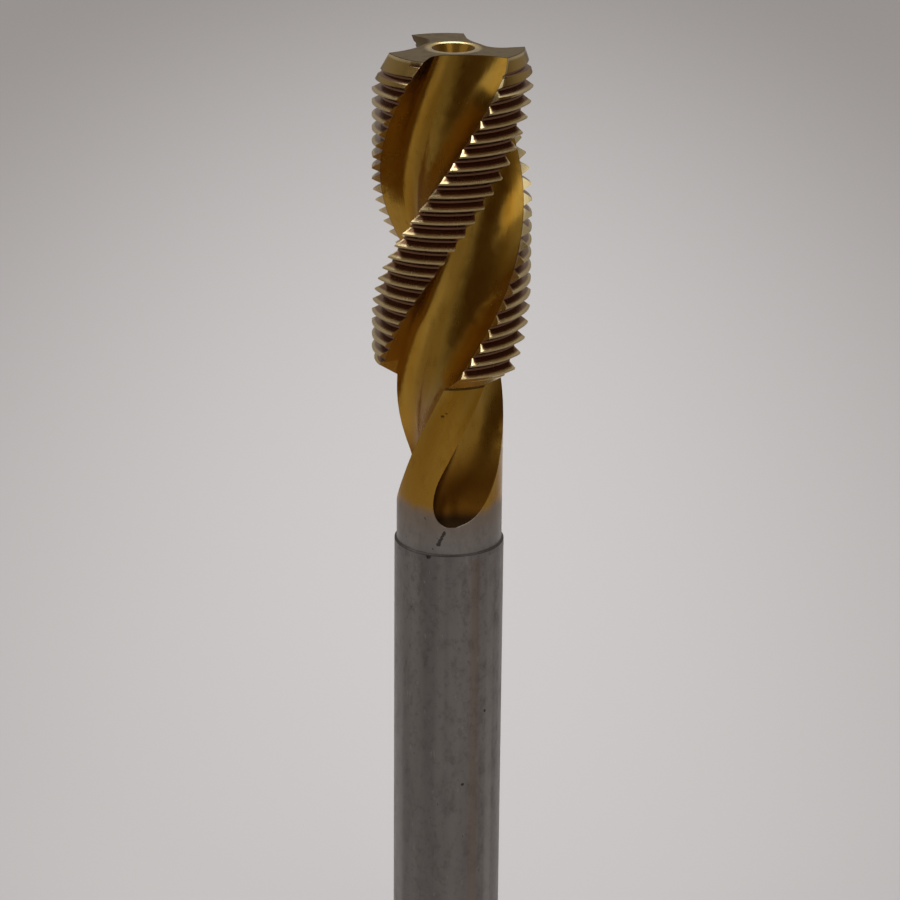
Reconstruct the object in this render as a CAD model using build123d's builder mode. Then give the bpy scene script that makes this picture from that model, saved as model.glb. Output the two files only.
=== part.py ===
from build123d import *
import math
import os

# Spiral-flute machine tap for blind holes, M12 x 1, with three flutes.
# Millimetres, +Z up. The tap stands on its square end with the point upwards,
# and the origin is at the bottom centre. Azimuths are degrees about Z from +X,
# and a depth is measured from the point downwards.

# ---- driving sizes -------------------------------------------------------
overall_length = 82.0
shank_diameter = 8.5
neck_diameter = 8.16
neck_end_depth = 38.5          # where the neck meets the shank
shoulder_bevel = 0.1           # height of the bevel on the shank's upper edge

thread_diameter = 12.0
thread_pitch = 1.0
thread_length = 23.7           # down to where the back bevel starts
back_bevel_angle = 54.0        # of the thread's back end, from the axis
thread_phase = 0.0             # height over the point of one groove at azimuth 0
lead_length = 1.9              # of the taper at the point, along a cutting edge
lead_angle = 21.0              # of that taper, from the axis
lead_relief = 0.28             # how far the taper falls from cutting edge to heel

flute_count = 3
flute_helix_angle = 36.0       # at the thread's outside, right hand
core_diameter = 4.8            # web left between the flutes
land_angle = 45.5              # arc of one land at the thread's outside
first_edge_angle = 7.3         # azimuth of one cutting edge in the point plane
hook_angle = 7.5               # undercut of the cutting face
root_radius = 1.5              # of the flute, next to the cutting face
floor_end_angle = 30.0         # from the cutting edge to where the floor ends and the back starts
flute_full_length = 32.0       # down to where the grinding wheel lifts out
wheel_exit_radius = 5.3        # of the flute's floor as the wheel lifts out
wheel_exit_direction = 72.0    # of that lift, from the cutting edge

centre_hole_diameter = 3.2     # in the face of each end
centre_pilot_diameter = 1.6
centre_pilot_depth = 3.4
centre_angle = 60.0

square_across_flats = 6.5
square_length = 9.0
square_exit_radius = 2.5       # where the flats run out into the shank
end_bevel = 0.6

# ---- sizes that follow ---------------------------------------------------
point_height = overall_length
thread_radius = thread_diameter / 2
neck_radius = neck_diameter / 2
shank_radius = shank_diameter / 2
core_radius = core_diameter / 2

flank_slope = math.tan(math.radians(30))
crest_flat = thread_pitch / 8
root_flat = thread_pitch / 7
groove_depth = (thread_pitch - crest_flat - root_flat) / 2 / flank_slope
groove_radius = thread_radius - groove_depth
lead_slope = math.tan(math.radians(lead_angle))
lead_shift = lead_relief / math.sin(math.radians(land_angle))
back_bevel_length = (thread_radius - neck_radius) / math.tan(math.radians(back_bevel_angle))
thread_end_depth = thread_length + back_bevel_length

flute_lead = math.pi * thread_diameter / math.tan(math.radians(flute_helix_angle))
flute_spacing = 360 / flute_count
heel_angle = flute_spacing - land_angle
overcut = 0.5                  # how far every cutter runs past the blank


def around(radius, azimuth):
    """The plan point at this radius and azimuth."""
    return Vector(radius, 0).rotate(Axis.Z, azimuth)


def edge_azimuth(depth):
    """The azimuth of the first cutting edge at this depth."""
    return first_edge_angle - 360 * depth / flute_lead


def flute_plane(depth, lift=0):
    """The plane of the first flute's section at this depth, moved out by lift."""
    turn = edge_azimuth(depth)
    away = around(lift, turn + wheel_exit_direction)
    return Plane((away.X, away.Y, point_height - depth), x_dir=around(1, turn), z_dir=(0, 0, 1))


# ---- section of one flute ------------------------------------------------
# Drawn in the plan with its cutting edge on the X axis. The straight cutting
# face leads into the root arc, and that into a short floor round the core. The
# back is one wide arc from there to the heel, which it meets nearly square.
edge = Vector(thread_radius, 0)
inward = Vector(-1, 0).rotate(Axis.Z, hook_angle)
across = inward.rotate(Axis.Z, -90)
root_offset = edge + across * root_radius
reach = core_radius + root_radius
run_in = root_offset.dot(inward)
face_length = -run_in - math.sqrt(run_in ** 2 - root_offset.dot(root_offset) + reach ** 2)
face_foot = edge + inward * face_length
root_centre = root_offset + inward * face_length
floor = root_centre.normalized() * core_radius
along_floor = root_centre.normalized().rotate(Axis.Z, 90)
floor_end = around(core_radius, floor_end_angle)
along_back = around(1, floor_end_angle + 90)

heel = around(thread_radius, heel_angle)
edge_out = edge - inward * overcut
clear_radius = thread_radius + 4 * overcut
heel_out = around(clear_radius, heel_angle)

with BuildSketch() as flute_section:
    with BuildLine():
        Line(edge_out, face_foot)
        TangentArc(face_foot, floor, tangent=inward)
        TangentArc(floor, floor_end, tangent=along_floor)
        TangentArc(floor_end, heel, tangent=along_back)
        Line(heel, heel_out)
        ThreePointArc(
            heel_out,
            around(clear_radius, heel_angle / 2),
            around(clear_radius, 0),
        )
        Line(around(clear_radius, 0), edge_out)
    make_face()

# ---- cutter for one flute, twisted to the lead ---------------------------
with BuildPart() as flute_cutter:
    with BuildLine():
        twist_axis = Line(
            (0, 0, point_height - flute_full_length),
            (0, 0, point_height + overcut),
        )
    with BuildLine(flute_plane(flute_full_length)):
        twist_guide = Helix(flute_lead, flute_full_length + overcut, thread_radius)
    with BuildSketch(flute_plane(flute_full_length)):
        add(flute_section.sketch)
    sweep(path=twist_axis, binormal=twist_guide)

# ---- the end of that flute, where the wheel lifts out of the neck --------
exit_lift = neck_radius - core_radius + overcut
exit_swing = math.acos(1 - exit_lift / wheel_exit_radius)
exit_sections = 7

with BuildPart() as flute_exit:
    for section in range(exit_sections):
        swing = exit_swing * section / (exit_sections - 1)
        drop = wheel_exit_radius * math.sin(swing)
        lift = wheel_exit_radius * (1 - math.cos(swing))
        with BuildSketch(flute_plane(flute_full_length + drop, lift)):
            add(flute_section.sketch)
    loft()

# ---- cutter for the relieved taper at the point of one land --------------
# A ring sector whose inner side is the taper. Its axis is shifted square to the
# cutting edge, so the taper keeps its radius there and falls towards the heel.
lead_middle = edge_azimuth(lead_length / 2)
lead_base = thread_radius - lead_length * lead_slope
lead_reach = (clear_radius - lead_base) / lead_slope
lead_spare = 15.0              # how far the sector runs past the land on each side
lead_arc = land_angle + 360 * lead_length / flute_lead + 2 * lead_spare
lead_centre = around(lead_shift, lead_middle + 90) + Vector(0, 0, point_height)
lead_start = around(1, first_edge_angle + lead_spare)

with BuildPart() as lead_cutter:
    with BuildSketch(Plane(lead_centre, x_dir=lead_start, z_dir=lead_start.cross(Vector(0, 0, 1)))):
        with BuildLine():
            Polyline(
                (lead_base - overcut * lead_slope, overcut),
                (clear_radius, overcut),
                (clear_radius, -lead_reach),
                close=True,
            )
        make_face()
    revolve(axis=Axis(lead_centre, (0, 0, 1)), revolution_arc=-lead_arc)

# ---- cutter for one turn of the thread groove across one land ------------
# A ring sector, centred on azimuth 0 and tilted to the thread's lead.
groove_arc = land_angle + 20
groove_lead_angle = math.degrees(math.atan(thread_pitch / math.pi / (thread_radius + groove_radius)))
groove_axis = Vector(0, 0, 1).rotate(Axis.X, groove_lead_angle)
groove_start = Vector(1, 0, 0).rotate(Axis((0, 0, 0), groove_axis), -groove_arc / 2)
groove_top = thread_radius + overcut / 4
groove_half_top = root_flat / 2 + (groove_top - groove_radius) * flank_slope

with BuildPart() as groove_cutter:
    with BuildSketch(Plane((0, 0, 0), x_dir=groove_start, z_dir=groove_start.cross(groove_axis))):
        with BuildLine():
            Polyline(
                (groove_radius, -root_flat / 2),
                (groove_top, -groove_half_top),
                (groove_top, groove_half_top),
                (groove_radius, root_flat / 2),
                close=True,
            )
        make_face()
    revolve(axis=Axis((0, 0, 0), groove_axis), revolution_arc=groove_arc)


def groove_places():
    """Where the groove crosses the middle of each land, turn by turn down one helix."""
    places = []
    turns = math.ceil(thread_end_depth / thread_pitch) + flute_count
    for land in range(flute_count):
        land_middle = first_edge_angle - land_angle / 2 + flute_spacing * land
        for turn in range(-turns, flute_count):
            rise = thread_phase + thread_pitch * turn
            azimuth = (land_middle + 360 * rise / flute_lead) / (1 - thread_pitch / flute_lead)
            height = rise + thread_pitch * azimuth / 360
            if -thread_end_depth < height < groove_depth:
                places.append(Location((0, 0, point_height + height), (0, 0, azimuth)))
    return places


# ---- cutter for one flat of the driving square ---------------------------
flat_distance = square_across_flats / 2
flat_top = shank_radius + overcut
exit_rise = math.sqrt(square_exit_radius ** 2 - (square_exit_radius - flat_top + flat_distance) ** 2)

with BuildPart() as flat_cutter:
    with BuildSketch(Plane.XZ):
        with BuildLine():
            Polyline(
                (flat_top, square_length + exit_rise),
                (flat_top, -overcut),
                (flat_distance, -overcut),
                (flat_distance, square_length),
            )
            RadiusArc(
                (flat_distance, square_length),
                (flat_top, square_length + exit_rise),
                square_exit_radius,
            )
        make_face()
    extrude(amount=shank_radius, both=True)

# ---- the tap -------------------------------------------------------------
with BuildPart() as tap_body:
    with BuildSketch(Plane.XZ):
        with BuildLine():
            Polyline(
                (0, 0),
                (shank_radius - end_bevel, 0),
                (shank_radius, end_bevel),
                (shank_radius, point_height - neck_end_depth - shoulder_bevel),
                (neck_radius, point_height - neck_end_depth),
                (neck_radius, point_height - thread_end_depth),
                (thread_radius, point_height - thread_length),
                (thread_radius, point_height),
                (0, point_height),
                close=True,
            )
        make_face()
    revolve(axis=Axis.Z)
    with Locations(Location((0, 0, point_height)), Location((0, 0, 0), (180, 0, 0))):
        CounterSinkHole(
            centre_pilot_diameter / 2,
            centre_hole_diameter / 2,
            depth=centre_pilot_depth,
            counter_sink_angle=centre_angle,
        )
    with PolarLocations(0, 4):
        add(flat_cutter.part, mode=Mode.SUBTRACT)
    with PolarLocations(0, flute_count):
        add(flute_cutter.part, mode=Mode.SUBTRACT)
        add(flute_exit.part, mode=Mode.SUBTRACT)
        add(lead_cutter.part, mode=Mode.SUBTRACT)
    with Locations(groove_places()):
        add(groove_cutter.part, mode=Mode.SUBTRACT, clean=False)

tap_body.part.label = "tap_body"
os.makedirs("parts", exist_ok=True)
export_step(tap_body.part, "parts/tap_body.step")
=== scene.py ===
"""Dresses a spiral-flute thread tap in ground steel and a gold coat, on paper in soft light."""
import math

import bmesh
import bpy
from mathutils import Matrix, Vector

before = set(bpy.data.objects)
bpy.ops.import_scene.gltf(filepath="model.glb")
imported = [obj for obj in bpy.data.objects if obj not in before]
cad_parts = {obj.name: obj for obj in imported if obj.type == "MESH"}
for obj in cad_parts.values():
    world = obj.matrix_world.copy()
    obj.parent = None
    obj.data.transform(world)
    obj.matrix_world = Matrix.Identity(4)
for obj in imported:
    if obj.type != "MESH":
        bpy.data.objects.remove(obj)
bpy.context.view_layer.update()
scene = bpy.context.scene
MM = 0.001

# Heights above the square end and radii of the tap, in millimetres as in its solid.
POINT = 82.0
LEAD_LIMIT = 78.9          # the relieved lead ends above this height
THREAD_END = 56.9          # where the bevel behind the thread reaches the neck
SHOULDER = 43.5            # where the neck meets the shank
CREST_WEAR_AND_HIGHLIGHT = (5.7, 5.88)   # where the pale tops of the teeth begin: worn coat and painted highlight
GROOVE_RADIUS = 5.37       # bottom of the thread's groove
LEAD_RADIUS = 4.7          # the lead lies outside it, even at the point
SHANK_RADIUS = 4.25
NECK_RADIUS = 4.08
HOLE_RADIUS = 1.6          # of the centre hole's rim
RIM_SPAN = (1.4, 2.3)      # radii over which that rim looks rounded
END_WEAR = (1.8, 2.25)     # where the coat on the end face is ground away
COAT_RAGGED = 1.8          # how far noise moves the lower edge of the coat, in all

# How far a surface's normal rises along the axis.
LEAD_RISE = 0.36           # on the facets of the lead
HOOK_RISE = -0.48          # on the undercut cutting face at the point

# The flutes, in degrees. They turn right-handed and repeat three times.
FLUTE_TURN = 6.94          # for each millimetre of depth
EDGE_ANGLE = 7.3           # where one cutting edge lies at the point
LAND_ANGLE = 45.5          # from that edge back to its heel
LAND_SPACING = 120.0

# Noise over the surface: the places it reads, its stretch along the axes, its cells for each
# millimetre, its detail and its roughness.
PATTERNS = {
    # Marks of the grinding wheel follow the flutes. Real ones are a few hundredths of a
    # millimetre apart; they are drawn at 0.2 mm, so that they show.
    "wheel marks": ("untwisted", (1, 1, 0.06), 5.0, 4.0, 0.6),
    # Grinding lines round the shank, drawn at 0.14 mm for the same reason.
    "rings": ("place", (0.25, 0.25, 7.0), 1.0, 3.0, 0.5),
    # Slow changes of the coat's tone, 2 mm wide and drawn out along the flutes.
    "clouds": ("untwisted", (1, 1, 0.12), 0.55, 3.0, 0.5),
    # Broad upright bands on the shank from its handling, 2 mm wide.
    "bands": ("place", (1, 1, 0.03), 0.5, 2.0, 0.5),
    # Stains 1 mm and 0.5 mm wide, scuffs of 0.4 mm and specks of 0.3 mm.
    "mottle": ("place", (1, 1, 0.45), 1.1, 5.0, 0.65),
    "grain": ("place", (1, 1, 0.8), 2.0, 4.0, 0.7),
    "scuffs": ("place", (1, 1, 0.35), 2.6, 2.0, 0.5),
    "specks": ("place", (1, 1, 0.6), 3.4, 3.0, 0.6),
}

# Areas of the surface, each the product of its tests. A test names a place, a pattern or an
# area above it, then an operation and its limits. A smooth step may end on another share.
AREAS = {
    "land": (("past edge", "LESS_THAN", 0.01),),
    "head": (("height", "GREATER_THAN", THREAD_END),),
    "shank": (("height", "LESS_THAN", SHOULDER - 0.5),),
    "point": (("height", "GREATER_THAN", POINT - 0.04),),
    "lead": (
        ("rise", "COMPARE", LEAD_RISE, 0.2),
        ("height", "GREATER_THAN", LEAD_LIMIT),
        ("radius", "GREATER_THAN", LEAD_RADIUS),
        ("land", "GREATER_THAN", 0.5),
    ),
    "thread": (
        ("radius", "GREATER_THAN", GROOVE_RADIUS - 0.04),
        ("lead", "LESS_THAN", 0.5),
        ("head", "GREATER_THAN", 0.5),
    ),
    "crests": (("thread", "GREATER_THAN", 0.5), ("radius", "SMOOTHSTEP", *CREST_WEAR_AND_HIGHLIGHT)),
    "inside the thread": (("radius", "LESS_THAN", GROOVE_RADIUS), ("lead", "LESS_THAN", 0.5)),
    "lands": (("inside the thread", "LESS_THAN", 0.5), ("head", "GREATER_THAN", 0.5)),
    # The coat fades in on the neck, where noise lifts the height by half its span.
    "coat": (("ragged height", "SMOOTHSTEP", 47.35, 48.45),),
    "flute ends": (("radius", "LESS_THAN", NECK_RADIUS - 0.05), ("height", "GREATER_THAN", SHOULDER)),
    "dim flute ends": (("flute ends", "GREATER_THAN", 0.5), ("height", "SMOOTHSTEP", 52.5, 48.5)),
    "neck": (("height", "SMOOTHSTEP", 56.5, 49.0, 0.0, 0.6),),
    "coat stains": (("mottle", "SMOOTHSTEP", 0.5, 0.72, 0.0, 0.3),),
    "back bevel": (
        ("height", "COMPARE", THREAD_END + 0.7, 0.7),
        ("radius", "GREATER_THAN", 4.2),
        ("land", "GREATER_THAN", 0.5),
    ),
    "lead rim": (("lead", "GREATER_THAN", 0.5), ("height", "SMOOTHSTEP", 81.7, 81.85, 0.0, 0.7)),
    "hole": (("radius", "LESS_THAN", HOLE_RADIUS - 0.02), ("head", "GREATER_THAN", 0.5)),
    "hole rim": (
        ("point", "GREATER_THAN", 0.5),
        ("radius", "SMOOTHSTEP", HOLE_RADIUS - 0.04, HOLE_RADIUS + 0.04),
    ),
    "heels": (("lands", "GREATER_THAN", 0.5), ("from heel", "SMOOTHSTEP", 0.2, 0.08)),
    "cutting edges": (("lands", "GREATER_THAN", 0.5), ("from edge", "SMOOTHSTEP", 0.2, 0.06, 0.0, 0.7)),
    # The end face round the centre hole is ground through to the steel.
    "end face": (("point", "GREATER_THAN", 0.5), ("radius", "SMOOTHSTEP", *END_WEAR)),
    "end face stains": (
        ("point", "GREATER_THAN", 0.5),
        ("radius", "SMOOTHSTEP", *END_WEAR),
        ("mottle", "SMOOTHSTEP", 0.45, 0.65, 0.0, 0.6),
    ),
    "shank stains": (("mottle", "SMOOTHSTEP", 0.48, 0.75, 0.0, 0.5),),
    "shank grain": (("grain", "SMOOTHSTEP", 0.48, 0.68, 0.0, 0.4),),
    "pale scuffs": (("scuffs", "SMOOTHSTEP", 0.66, 0.72, 0.0, 0.3),),
    "above the step": (("height", "SMOOTHSTEP", SHOULDER - 0.1, SHOULDER, 0.0, 0.35),),
    "below the coat": (("height", "SMOOTHSTEP", 44.0, 47.0, 0.0, 0.6),),
    "lower shank": (("height", "SMOOTHSTEP", 40.0, 15.0, 0.0, 0.4),),
    # painted shade: a dark line in the corner at the step
    "step corner": (("height", "COMPARE", SHOULDER - 0.06, 0.07),),
    "dark specks": (("specks", "SMOOTHSTEP", 0.7, 0.77),),
    # painted shade at the bottom of the ends of the flutes
    "flute end shade": (
        ("flute ends", "GREATER_THAN", 0.5),
        ("height", "SMOOTHSTEP", 47.1, 46.2, 0.0, 1.2),
    ),
    # painted shade: a dark line in the corner where the bevel meets the neck
    "bevel corner": (
        ("height", "COMPARE", THREAD_END - 0.05, 0.07),
        ("radius", "COMPARE", NECK_RADIUS, 0.06),
    ),
    # painted shade on the undercut cutting face near the point
    "hook shade": (
        ("rise", "COMPARE", HOOK_RISE, 0.14),
        ("height", "SMOOTHSTEP", 79.9, 80.9),
        ("from edge", "LESS_THAN", 1.6),
        ("point", "LESS_THAN", 0.5),
        ("radius", "GREATER_THAN", 3.0),
    ),
}

# What lies over the gold coat and over the bare steel, from the lowest layer up.
COAT_LAYERS = (
    ("neck", "#bb8c36"),
    ("coat stains", "#84601f"),
    # painted shade: the ends of the flutes are darker
    ("dim flute ends", "#7c5219"),
    # painted shade: the thread's teeth are purple brown for the shade between them
    ("thread", "#7d5b45"),
    # pale crests: worn coat and a painted highlight
    ("crests", "#c6b184"),
    ("lead", "#a68a50"),
    # painted highlight on the bevel behind the thread
    ("back bevel", "#c4a768"),
    # painted highlight along the top edge of the lead
    ("lead rim", "#e0d0a8"),
    # painted shade inside the centre hole
    ("hole", "#7d5c22"),
    # painted highlight on the rim of the centre hole
    ("hole rim", "#e2c98c"),
    # painted highlight on the tooth ends at the heels
    ("heels", "#d2bf90"),
    # pale cutting edges: worn coat and a painted highlight
    ("cutting edges", "#cdb88c"),
)
STEEL_LAYERS = (
    ("shank stains", "#5f5a57"),
    ("shank grain", "#615c59"),
    ("pale scuffs", "#a5a19e"),
    ("above the step", "#aaa49d"),
    ("below the coat", "#98836c"),
    # painted shade: the shank is darker towards the bottom
    ("lower shank", "#66615e"),
)
END_LAYERS = (("end face", "#6a593c"), ("end face stains", "#544632"))
# Painted shade in corners, at the ends of the flutes and on the hook, with dark specks of real grime.
GRIME_AND_SHADE_AREAS = ("dark specks", "flute end shade", "bevel corner", "hook shade")
GRIME_AND_SHADE_STRENGTH = 0.75

# Painted reflections in upright streaks on the shank: azimuth in degrees, half width in radians,
# strength, colour.
SHANK_REFLECTIONS = ((-61, 0.15, 0.28, "#866a53"), (-40, 0.14, 0.35, "#a39d97"), (-152, 0.16, 0.3, "#9d9894"))

# Small dents: azimuth in degrees, then radius, height and size in millimetres.
DENTS = (
    (-46.9, 5.41, 80.74, 0.2),
    (-98.0, NECK_RADIUS, 54.71, 0.14),
    (-94.2, NECK_RADIUS, 54.95, 0.11),
    (-111.6, SHANK_RADIUS, 43.3, 0.25),
    (-46.8, SHANK_RADIUS, 29.96, 0.16),
    (-73.2, SHANK_RADIUS, 23.98, 0.15),
)
# A scratch on the neck is a row of dents from its upper to its lower end.
SCRATCH_TOP = (-94.9, NECK_RADIUS, 45.33, 0.14)
SCRATCH_FOOT = (-101.3, NECK_RADIUS, 44.31, 0.2)
SCRATCH_DENTS = 7
DENT_SHAKE = 0.2           # how far noise moves a dent's outline, in millimetres

# Roughness of the bare and the coated steel, and what some areas add to it.
STEEL_ROUGHNESS = 0.42
COAT_ROUGHNESS = 0.24
DULLER = (("end face", 0.22), ("dim flute ends", 0.2), ("stain", 0.25))

# Depths that the light shows on the smooth solid, in millimetres.
MARK_DEPTH = 0.02
RIM_DEPTH = 0.3

# The floor in metres: its half width, the shift, squeeze and reach of its pale patch, a painted pool of
# light round the tap, and where it darkens towards the front.
FLOOR_HALF = 3.0
PALE_SHIFT = (0, -0.08, 0)
PALE_SQUEEZE = (3.0, 0.8, 1)
PALE_REACH = 0.36
FRONT_FADE = (-0.18, -0.5)

# The studio: how steeply one looks up where its ceiling fades in, and how bright that gets,
# where the front walls change to the back ones, and the height in millimetres that lamps face.
CEILING_FADE = (0.42, 0.9)
CEILING_SHARE = 0.62
WALL_FADE = (-0.4, 0.5)
LAMP_AIM = 60.0

# Settings of a map range with a soft step and of a mix of colours.
SOFT = {"interpolation_type": "SMOOTHSTEP"}
COLOURS = {"data_type": "RGBA"}


def paint(hex_colour):
    """An sRGB hex colour as a linear colour with full alpha."""
    channels = [int(hex_colour[i:i + 2], 16) / 255 for i in (1, 3, 5)]
    return [c / 12.92 if c < 0.04045 else ((c + 0.055) / 1.055) ** 2.4 for c in channels] + [1]


def material(name):
    """A new material with an empty node tree, and that tree."""
    made = bpy.data.materials.new(name)
    made.use_nodes = True
    made.node_tree.nodes.clear()
    return made, made.node_tree


def add(tree, kind, inputs=(), **settings):
    """Adds a shader node with its settings and returns its outputs. Its inputs are values or
    other nodes' outputs, in the order of its sockets or in a dictionary by socket."""
    node = tree.nodes.new("ShaderNode" + kind)
    for name, value in settings.items():
        setattr(node, name, value)
    inputs = inputs if isinstance(inputs, dict) else dict(enumerate(inputs))
    for socket, given in inputs.items():
        if isinstance(given, bpy.types.NodeSocket):
            tree.links.new(given, node.inputs[socket])
        else:
            node.inputs[socket].default_value = given
    return node.outputs


# ---- camera --------------------------------------------------------------
def camera(target, distance, down, roll, lens):
    """A camera in front of a point, tilted down and rolled a little."""
    e, r = math.radians(down), math.radians(roll)
    away = Vector((0, -math.cos(e), math.sin(e)))
    up = Vector((0, math.sin(e), math.cos(e)))
    side = Vector((1, 0, 0))
    right = side * math.cos(r) + up * math.sin(r)
    top = up * math.cos(r) - side * math.sin(r)
    data = bpy.data.cameras.new("camera")
    data.lens = lens
    data.sensor_width = 36
    data.clip_start = 0.01
    data.clip_end = 20
    made = bpy.data.objects.new("camera", data)
    turn = Matrix((right, top, away)).transposed().to_4x4()
    made.matrix_world = Matrix.Translation(Vector(target) + away * distance) @ turn
    scene.collection.objects.link(made)
    scene.camera = made


camera(target=(0.016 * MM, 0, 50.55 * MM), distance=230.99 * MM, down=20.173, roll=0.509, lens=120)


# ---- the tap's steel and its coat ------------------------------------------
def places(tree):
    """Where a point of the tap lies, in millimetres and radians, by name."""
    space = add(tree, "TexCoord")
    place = add(tree, "VectorMath", {0: space["Object"], "Scale": 1 / MM}, operation="SCALE")[0]
    x, y, height = add(tree, "SeparateXYZ", (place,))
    flat = add(tree, "VectorMath", (place, (1, 1, 0)), operation="MULTIPLY")[0]
    radius = add(tree, "VectorMath", (flat,), operation="LENGTH")["Value"]
    azimuth = add(tree, "Math", (y, x), operation="ARCTAN2")[0]

    # Places turned back along the flutes, so that a pattern follows their helix.
    per_mm = math.radians(FLUTE_TURN)
    turn = add(tree, "Math", (height, -per_mm, POINT * per_mm), operation="MULTIPLY_ADD")[0]
    untwisted = add(tree, "VectorRotate", {"Vector": place, "Angle": turn}, rotation_type="Z_AXIS")[0]

    # The way round from the last heel, and so the distances from heel and cutting edge.
    spacing = math.radians(LAND_SPACING)
    around = add(tree, "Math", (azimuth, turn), operation="ADD")[0]
    around = add(tree, "Math", (around, math.radians(EDGE_ANGLE - LAND_ANGLE)), operation="SUBTRACT")[0]
    around = add(tree, "Math", (around, spacing, 0.0), operation="WRAP")[0]
    heel_arc = add(tree, "Math", (around, spacing / 2), operation="PINGPONG")[0]
    past_edge = add(tree, "Math", (around, math.radians(LAND_ANGLE)), operation="SUBTRACT")[0]
    edge_arc = add(tree, "Math", (past_edge,), operation="ABSOLUTE")[0]
    return {
        "place": place,
        "untwisted": untwisted,
        "height": height,
        "radius": radius,
        "azimuth": azimuth,
        "rise": add(tree, "SeparateXYZ", (space["Normal"],))["Z"],
        "past edge": past_edge,
        "from heel": add(tree, "Math", (heel_arc, radius), operation="MULTIPLY")[0],
        "from edge": add(tree, "Math", (edge_arc, radius), operation="MULTIPLY")[0],
    }


def add_areas(tree, at):
    """Adds the patterns and the areas to the places that at holds."""
    for name, (where, stretch, cells, detail, rough) in PATTERNS.items():
        drawn = add(tree, "VectorMath", (at[where], stretch), operation="MULTIPLY")[0]
        noise = {"Vector": drawn, "Scale": cells, "Detail": detail, "Roughness": rough}
        at[name] = add(tree, "TexNoise", noise)["Fac"]
    ragged = add(tree, "Math", (at["clouds"], COAT_RAGGED, at["height"]), operation="MULTIPLY_ADD")[0]
    at["ragged height"] = ragged
    for name, tests in AREAS.items():
        for source, test, *limits in tests:
            if test == "SMOOTHSTEP":
                share = add(tree, "MapRange", (at[source], *limits), **SOFT)[0]
            else:
                share = add(tree, "Math", (at[source], *limits), operation=test)[0]
            if name in at:
                share = add(tree, "Math", (at[name], share), operation="MULTIPLY")[0]
            at[name] = share
    # The coat reaches lower inside the ends of the flutes.
    at["coat"] = add(tree, "Math", (at["coat"], at["flute ends"]), operation="MAXIMUM")[0]


def layered(tree, at, colour, layers):
    """A colour with others laid over it, each by the share of its area."""
    for area, tone in layers:
        colour = add(tree, "Mix", {0: at[area], 6: colour, 7: paint(tone)}, **COLOURS)[2]
    return colour


def coat_colour(tree, at):
    """Gold of the nitride coat, from brown to olive gold. The thread's teeth carry painted shade in
    purple brown, crests and cutting edges are pale from wear and a painted highlight, and heels carry a
    painted highlight."""
    tone = add(tree, "MapRange", (at["clouds"], 0.32, 0.68))[0]
    gold = add(tree, "Mix", {0: tone, 6: paint("#a07424"), 7: paint("#b49142")}, **COLOURS)[2]
    return layered(tree, at, gold, COAT_LAYERS)


def steel_colour(tree, at):
    """Grey steel with a warm cast, in broad upright bands, with a few painted reflections in upright
    streaks.
    """
    band = add(tree, "MapRange", (at["bands"], 0.35, 0.65))[0]
    steel = add(tree, "Mix", {0: band, 6: paint("#7a7572"), 7: paint("#8f8a86")}, **COLOURS)[2]
    steel = layered(tree, at, steel, STEEL_LAYERS)
    # painted reflections, light and dark, at fixed places round the shank
    for where, half, strength, tone in SHANK_REFLECTIONS:
        off = add(tree, "Math", (at["azimuth"], math.radians(where)), operation="SUBTRACT")[0]
        off = add(tree, "Math", (off,), operation="ABSOLUTE")[0]
        fade = add(tree, "MapRange", (off, half, half * 0.3, 0.0, strength), **SOFT)[0]
        at["reflection_streak"] = add(tree, "Math", (fade, at["shank"]), operation="MULTIPLY")[0]
        steel = layered(tree, at, steel, [("reflection_streak", tone)])
    return steel


def dents():
    """Each dent's place and size, in millimetres."""
    spots = list(DENTS)
    for step in range(SCRATCH_DENTS):
        share = step / (SCRATCH_DENTS - 1)
        spots.append([a + (b - a) * share for a, b in zip(SCRATCH_TOP, SCRATCH_FOOT)])
    for turned, radius, height, size in spots:
        a = math.radians(turned)
        yield (radius * math.cos(a), radius * math.sin(a), height), size


def grime_and_shade(tree, at):
    """How dark the surface is painted: painted shade in the corners at the step and the bevel, at the
    ends of the flutes and on the hook, and grime in specks, dents and a scratch.
    """
    share = at["step corner"]
    for area in GRIME_AND_SHADE_AREAS:
        share = add(tree, "Math", (share, at[area]), operation="MAXIMUM")[0]
    shake = add(tree, "TexNoise", {"Vector": at["place"], "Scale": 5.0, "Detail": 2.0})["Color"]
    shaken = add(tree, "VectorMath", (shake, [DENT_SHAKE] * 3, at["place"]), operation="MULTIPLY_ADD")[0]
    for spot, size in dents():
        spot = [c + DENT_SHAKE / 2 for c in spot]
        off = add(tree, "VectorMath", (shaken, spot), operation="DISTANCE")["Value"]
        dent = add(tree, "MapRange", (off, size, size * 0.6), **SOFT)[0]
        share = add(tree, "Math", (share, dent), operation="MAXIMUM")[0]
    return add(tree, "Math", (share, GRIME_AND_SHADE_STRENGTH), operation="MULTIPLY")[0]


def roughness(tree, at):
    """Smooth under the coat, duller on bare steel, on the end face and where it is stained."""
    dull = add(tree, "MapRange", {0: at["coat"], 3: STEEL_ROUGHNESS, 4: COAT_ROUGHNESS})[0]
    at["stain"] = add(tree, "Math", (at["mottle"], 0.5), operation="SUBTRACT")[0]
    for area, added in DULLER:
        dull = add(tree, "Math", (at[area], added, dull), operation="MULTIPLY_ADD")[0]
    return dull


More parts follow.
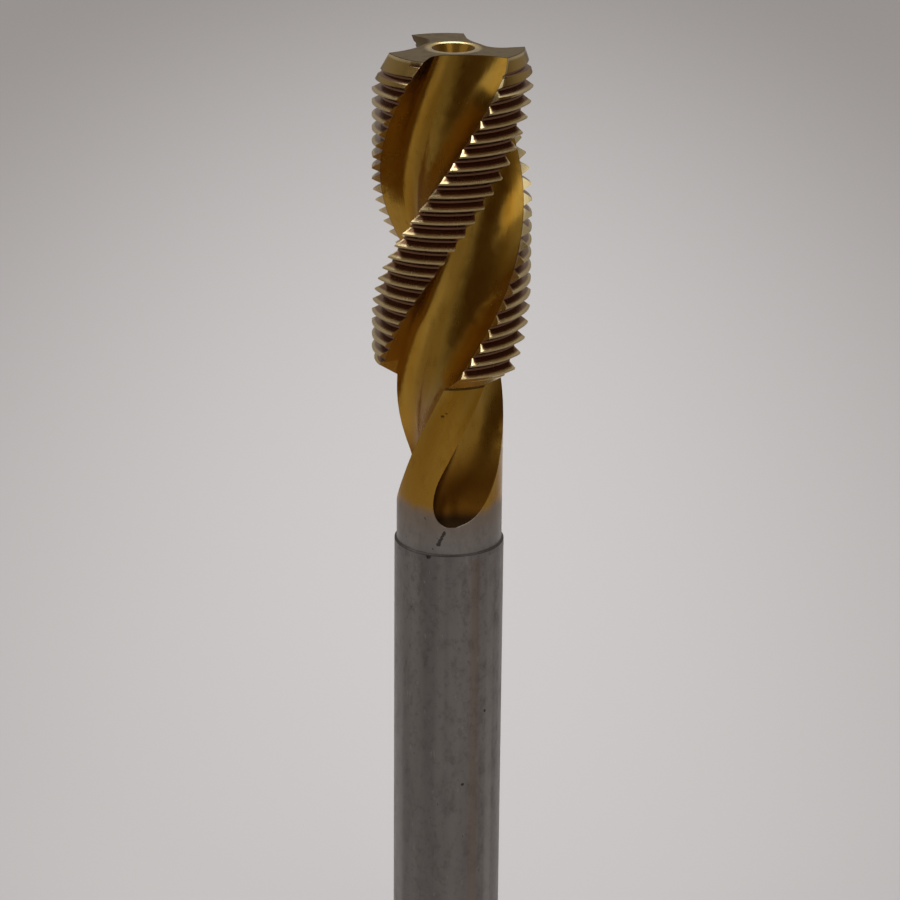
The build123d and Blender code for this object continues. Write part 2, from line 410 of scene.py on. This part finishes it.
def surface_normal(tree, at):
    """Fine marks, and the rounded rim of the centre hole as a broad soft step."""
    relief = add(tree, "Mix", {0: at["coat"], 2: at["rings"], 3: at["wheel marks"]}, data_type="FLOAT")[0]
    fine = add(tree, "Bump", {"Height": relief, "Strength": 0.3, "Distance": MARK_DEPTH * MM})[0]
    rim = add(tree, "MapRange", (at["radius"], *RIM_SPAN), **SOFT)[0]
    rim = add(tree, "Math", (rim, at["point"]), operation="MULTIPLY")[0]
    rounded = {"Height": rim, "Normal": fine, "Strength": 1.0, "Distance": RIM_DEPTH * MM}
    return add(tree, "Bump", rounded)[0]


def coated_tool_steel():
    """High-speed steel, ground all over. A thin gold nitride coat covers the cutting head
    and most of the neck. The shank below it is bare, satin and a little scuffed."""
    made, tree = material("coated tool steel")
    at = places(tree)
    add_areas(tree, at)
    steel, gold = steel_colour(tree, at), coat_colour(tree, at)
    colour = add(tree, "Mix", {0: at["coat"], 6: steel, 7: gold}, **COLOURS)[2]
    # painted shade and grime, in one dark colour
    at["grime_and_shade"] = grime_and_shade(tree, at)
    colour = layered(tree, at, colour, (*END_LAYERS, ("grime_and_shade", "#1d1612")))
    skin = add(tree, "BsdfPrincipled", {
        "Base Color": colour,
        "Metallic": 1.0,
        "Roughness": roughness(tree, at),
        "Normal": surface_normal(tree, at),
    })
    add(tree, "OutputMaterial", {"Surface": skin[0]})
    return made


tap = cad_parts["tap_body"]
tap.data.materials.clear()
tap.data.materials.append(coated_tool_steel())
for face in tap.data.polygons:
    face.use_smooth = True
weld = tap.modifiers.new("weld", "WELD")
weld.merge_threshold = 0.001 * MM
# Edges stay sharp from this angle; the facets of the curved faces meet at less.
split = tap.modifiers.new("sharp edges", "EDGE_SPLIT")
split.split_angle = math.radians(24)
split.use_edge_sharp = False
even = tap.modifiers.new("even shading", "WEIGHTED_NORMAL")
even.mode = "FACE_AREA_WITH_ANGLE"


# ---- floor and light -----------------------------------------------------
def pale_paper():
    """Matt paper with a painted pool of light round the tap, greyer away from it and towards the front.
    """
    made, tree = material("pale paper")
    place = add(tree, "TexCoord")["Object"]
    off = add(tree, "Mapping", {0: place, 1: PALE_SHIFT, 3: PALE_SQUEEZE})[0]
    off = add(tree, "VectorMath", (off,), operation="LENGTH")["Value"]
    # painted pool of light round the tap
    fade = add(tree, "MapRange", (off, 0.0, PALE_REACH), **SOFT)[0]
    tone = add(tree, "Mix", {0: fade, 6: paint("#d4d2d3"), 7: paint("#a39f9e")}, **COLOURS)[2]
    near = add(tree, "SeparateXYZ", (place,))["Y"]
    near = add(tree, "MapRange", (near, *FRONT_FADE), **SOFT)[0]
    tone = add(tree, "Mix", {0: near, 6: tone, 7: paint("#8a8684")}, **COLOURS)[2]
    matt = {"Base Color": tone, "Roughness": 1.0, "Specular IOR Level": 0.0}
    add(tree, "OutputMaterial", {"Surface": add(tree, "BsdfPrincipled", matt)[0]})
    return made


sheet = bmesh.new()
bmesh.ops.create_grid(sheet, x_segments=1, y_segments=1, size=FLOOR_HALF)
data = bpy.data.meshes.new("floor")
sheet.to_mesh(data)
sheet.free()
data.materials.append(pale_paper())
floor = bpy.data.objects.new("floor", data)
scene.collection.objects.link(floor)


def studio_world():
    """A dim room, brown in front and pale behind, that opens to a bright ceiling."""
    made = bpy.data.worlds.new("studio")
    made.use_nodes = True
    tree = made.node_tree
    tree.nodes.clear()
    facing = add(tree, "SeparateXYZ", (add(tree, "TexCoord")["Generated"],))
    above = add(tree, "MapRange", (facing["Z"], *CEILING_FADE, 0.0, CEILING_SHARE), **SOFT)[0]
    behind = add(tree, "MapRange", (facing["Y"], *WALL_FADE), **SOFT)[0]
    walls = add(tree, "Mix", {0: behind, 6: paint("#483622"), 7: paint("#a09b94")}, **COLOURS)[2]
    room = add(tree, "Mix", {0: above, 6: walls, 7: paint("#e0e0e0")}, **COLOURS)[2]
    add(tree, "OutputWorld", {"Surface": add(tree, "Background", (room,))[0]})
    scene.world = made


def lamp(name, turned, raised, distance, width, brightness):
    """A square soft lamp aimed at the tap's head from a direction in degrees."""
    a, e = math.radians(turned), math.radians(raised)
    towards = Vector((math.cos(a) * math.cos(e), math.sin(a) * math.cos(e), math.sin(e)))
    data = bpy.data.lights.new(name, "AREA")
    data.size = width
    data.energy = brightness * math.pi * width ** 2
    made = bpy.data.objects.new(name, data)
    made.location = Vector((0, 0, LAMP_AIM * MM)) + towards * distance
    made.rotation_euler = towards.to_track_quat("Z", "Y").to_euler()
    scene.collection.objects.link(made)


studio_world()
lamp("overhead", turned=100, raised=78, distance=0.85, width=0.7, brightness=2.9)
lamp("left", turned=-168, raised=44, distance=0.8, width=0.58, brightness=0.6)
lamp("front right", turned=-62, raised=42, distance=0.8, width=0.36, brightness=0.9)

scene.view_settings.view_transform = "Standard"
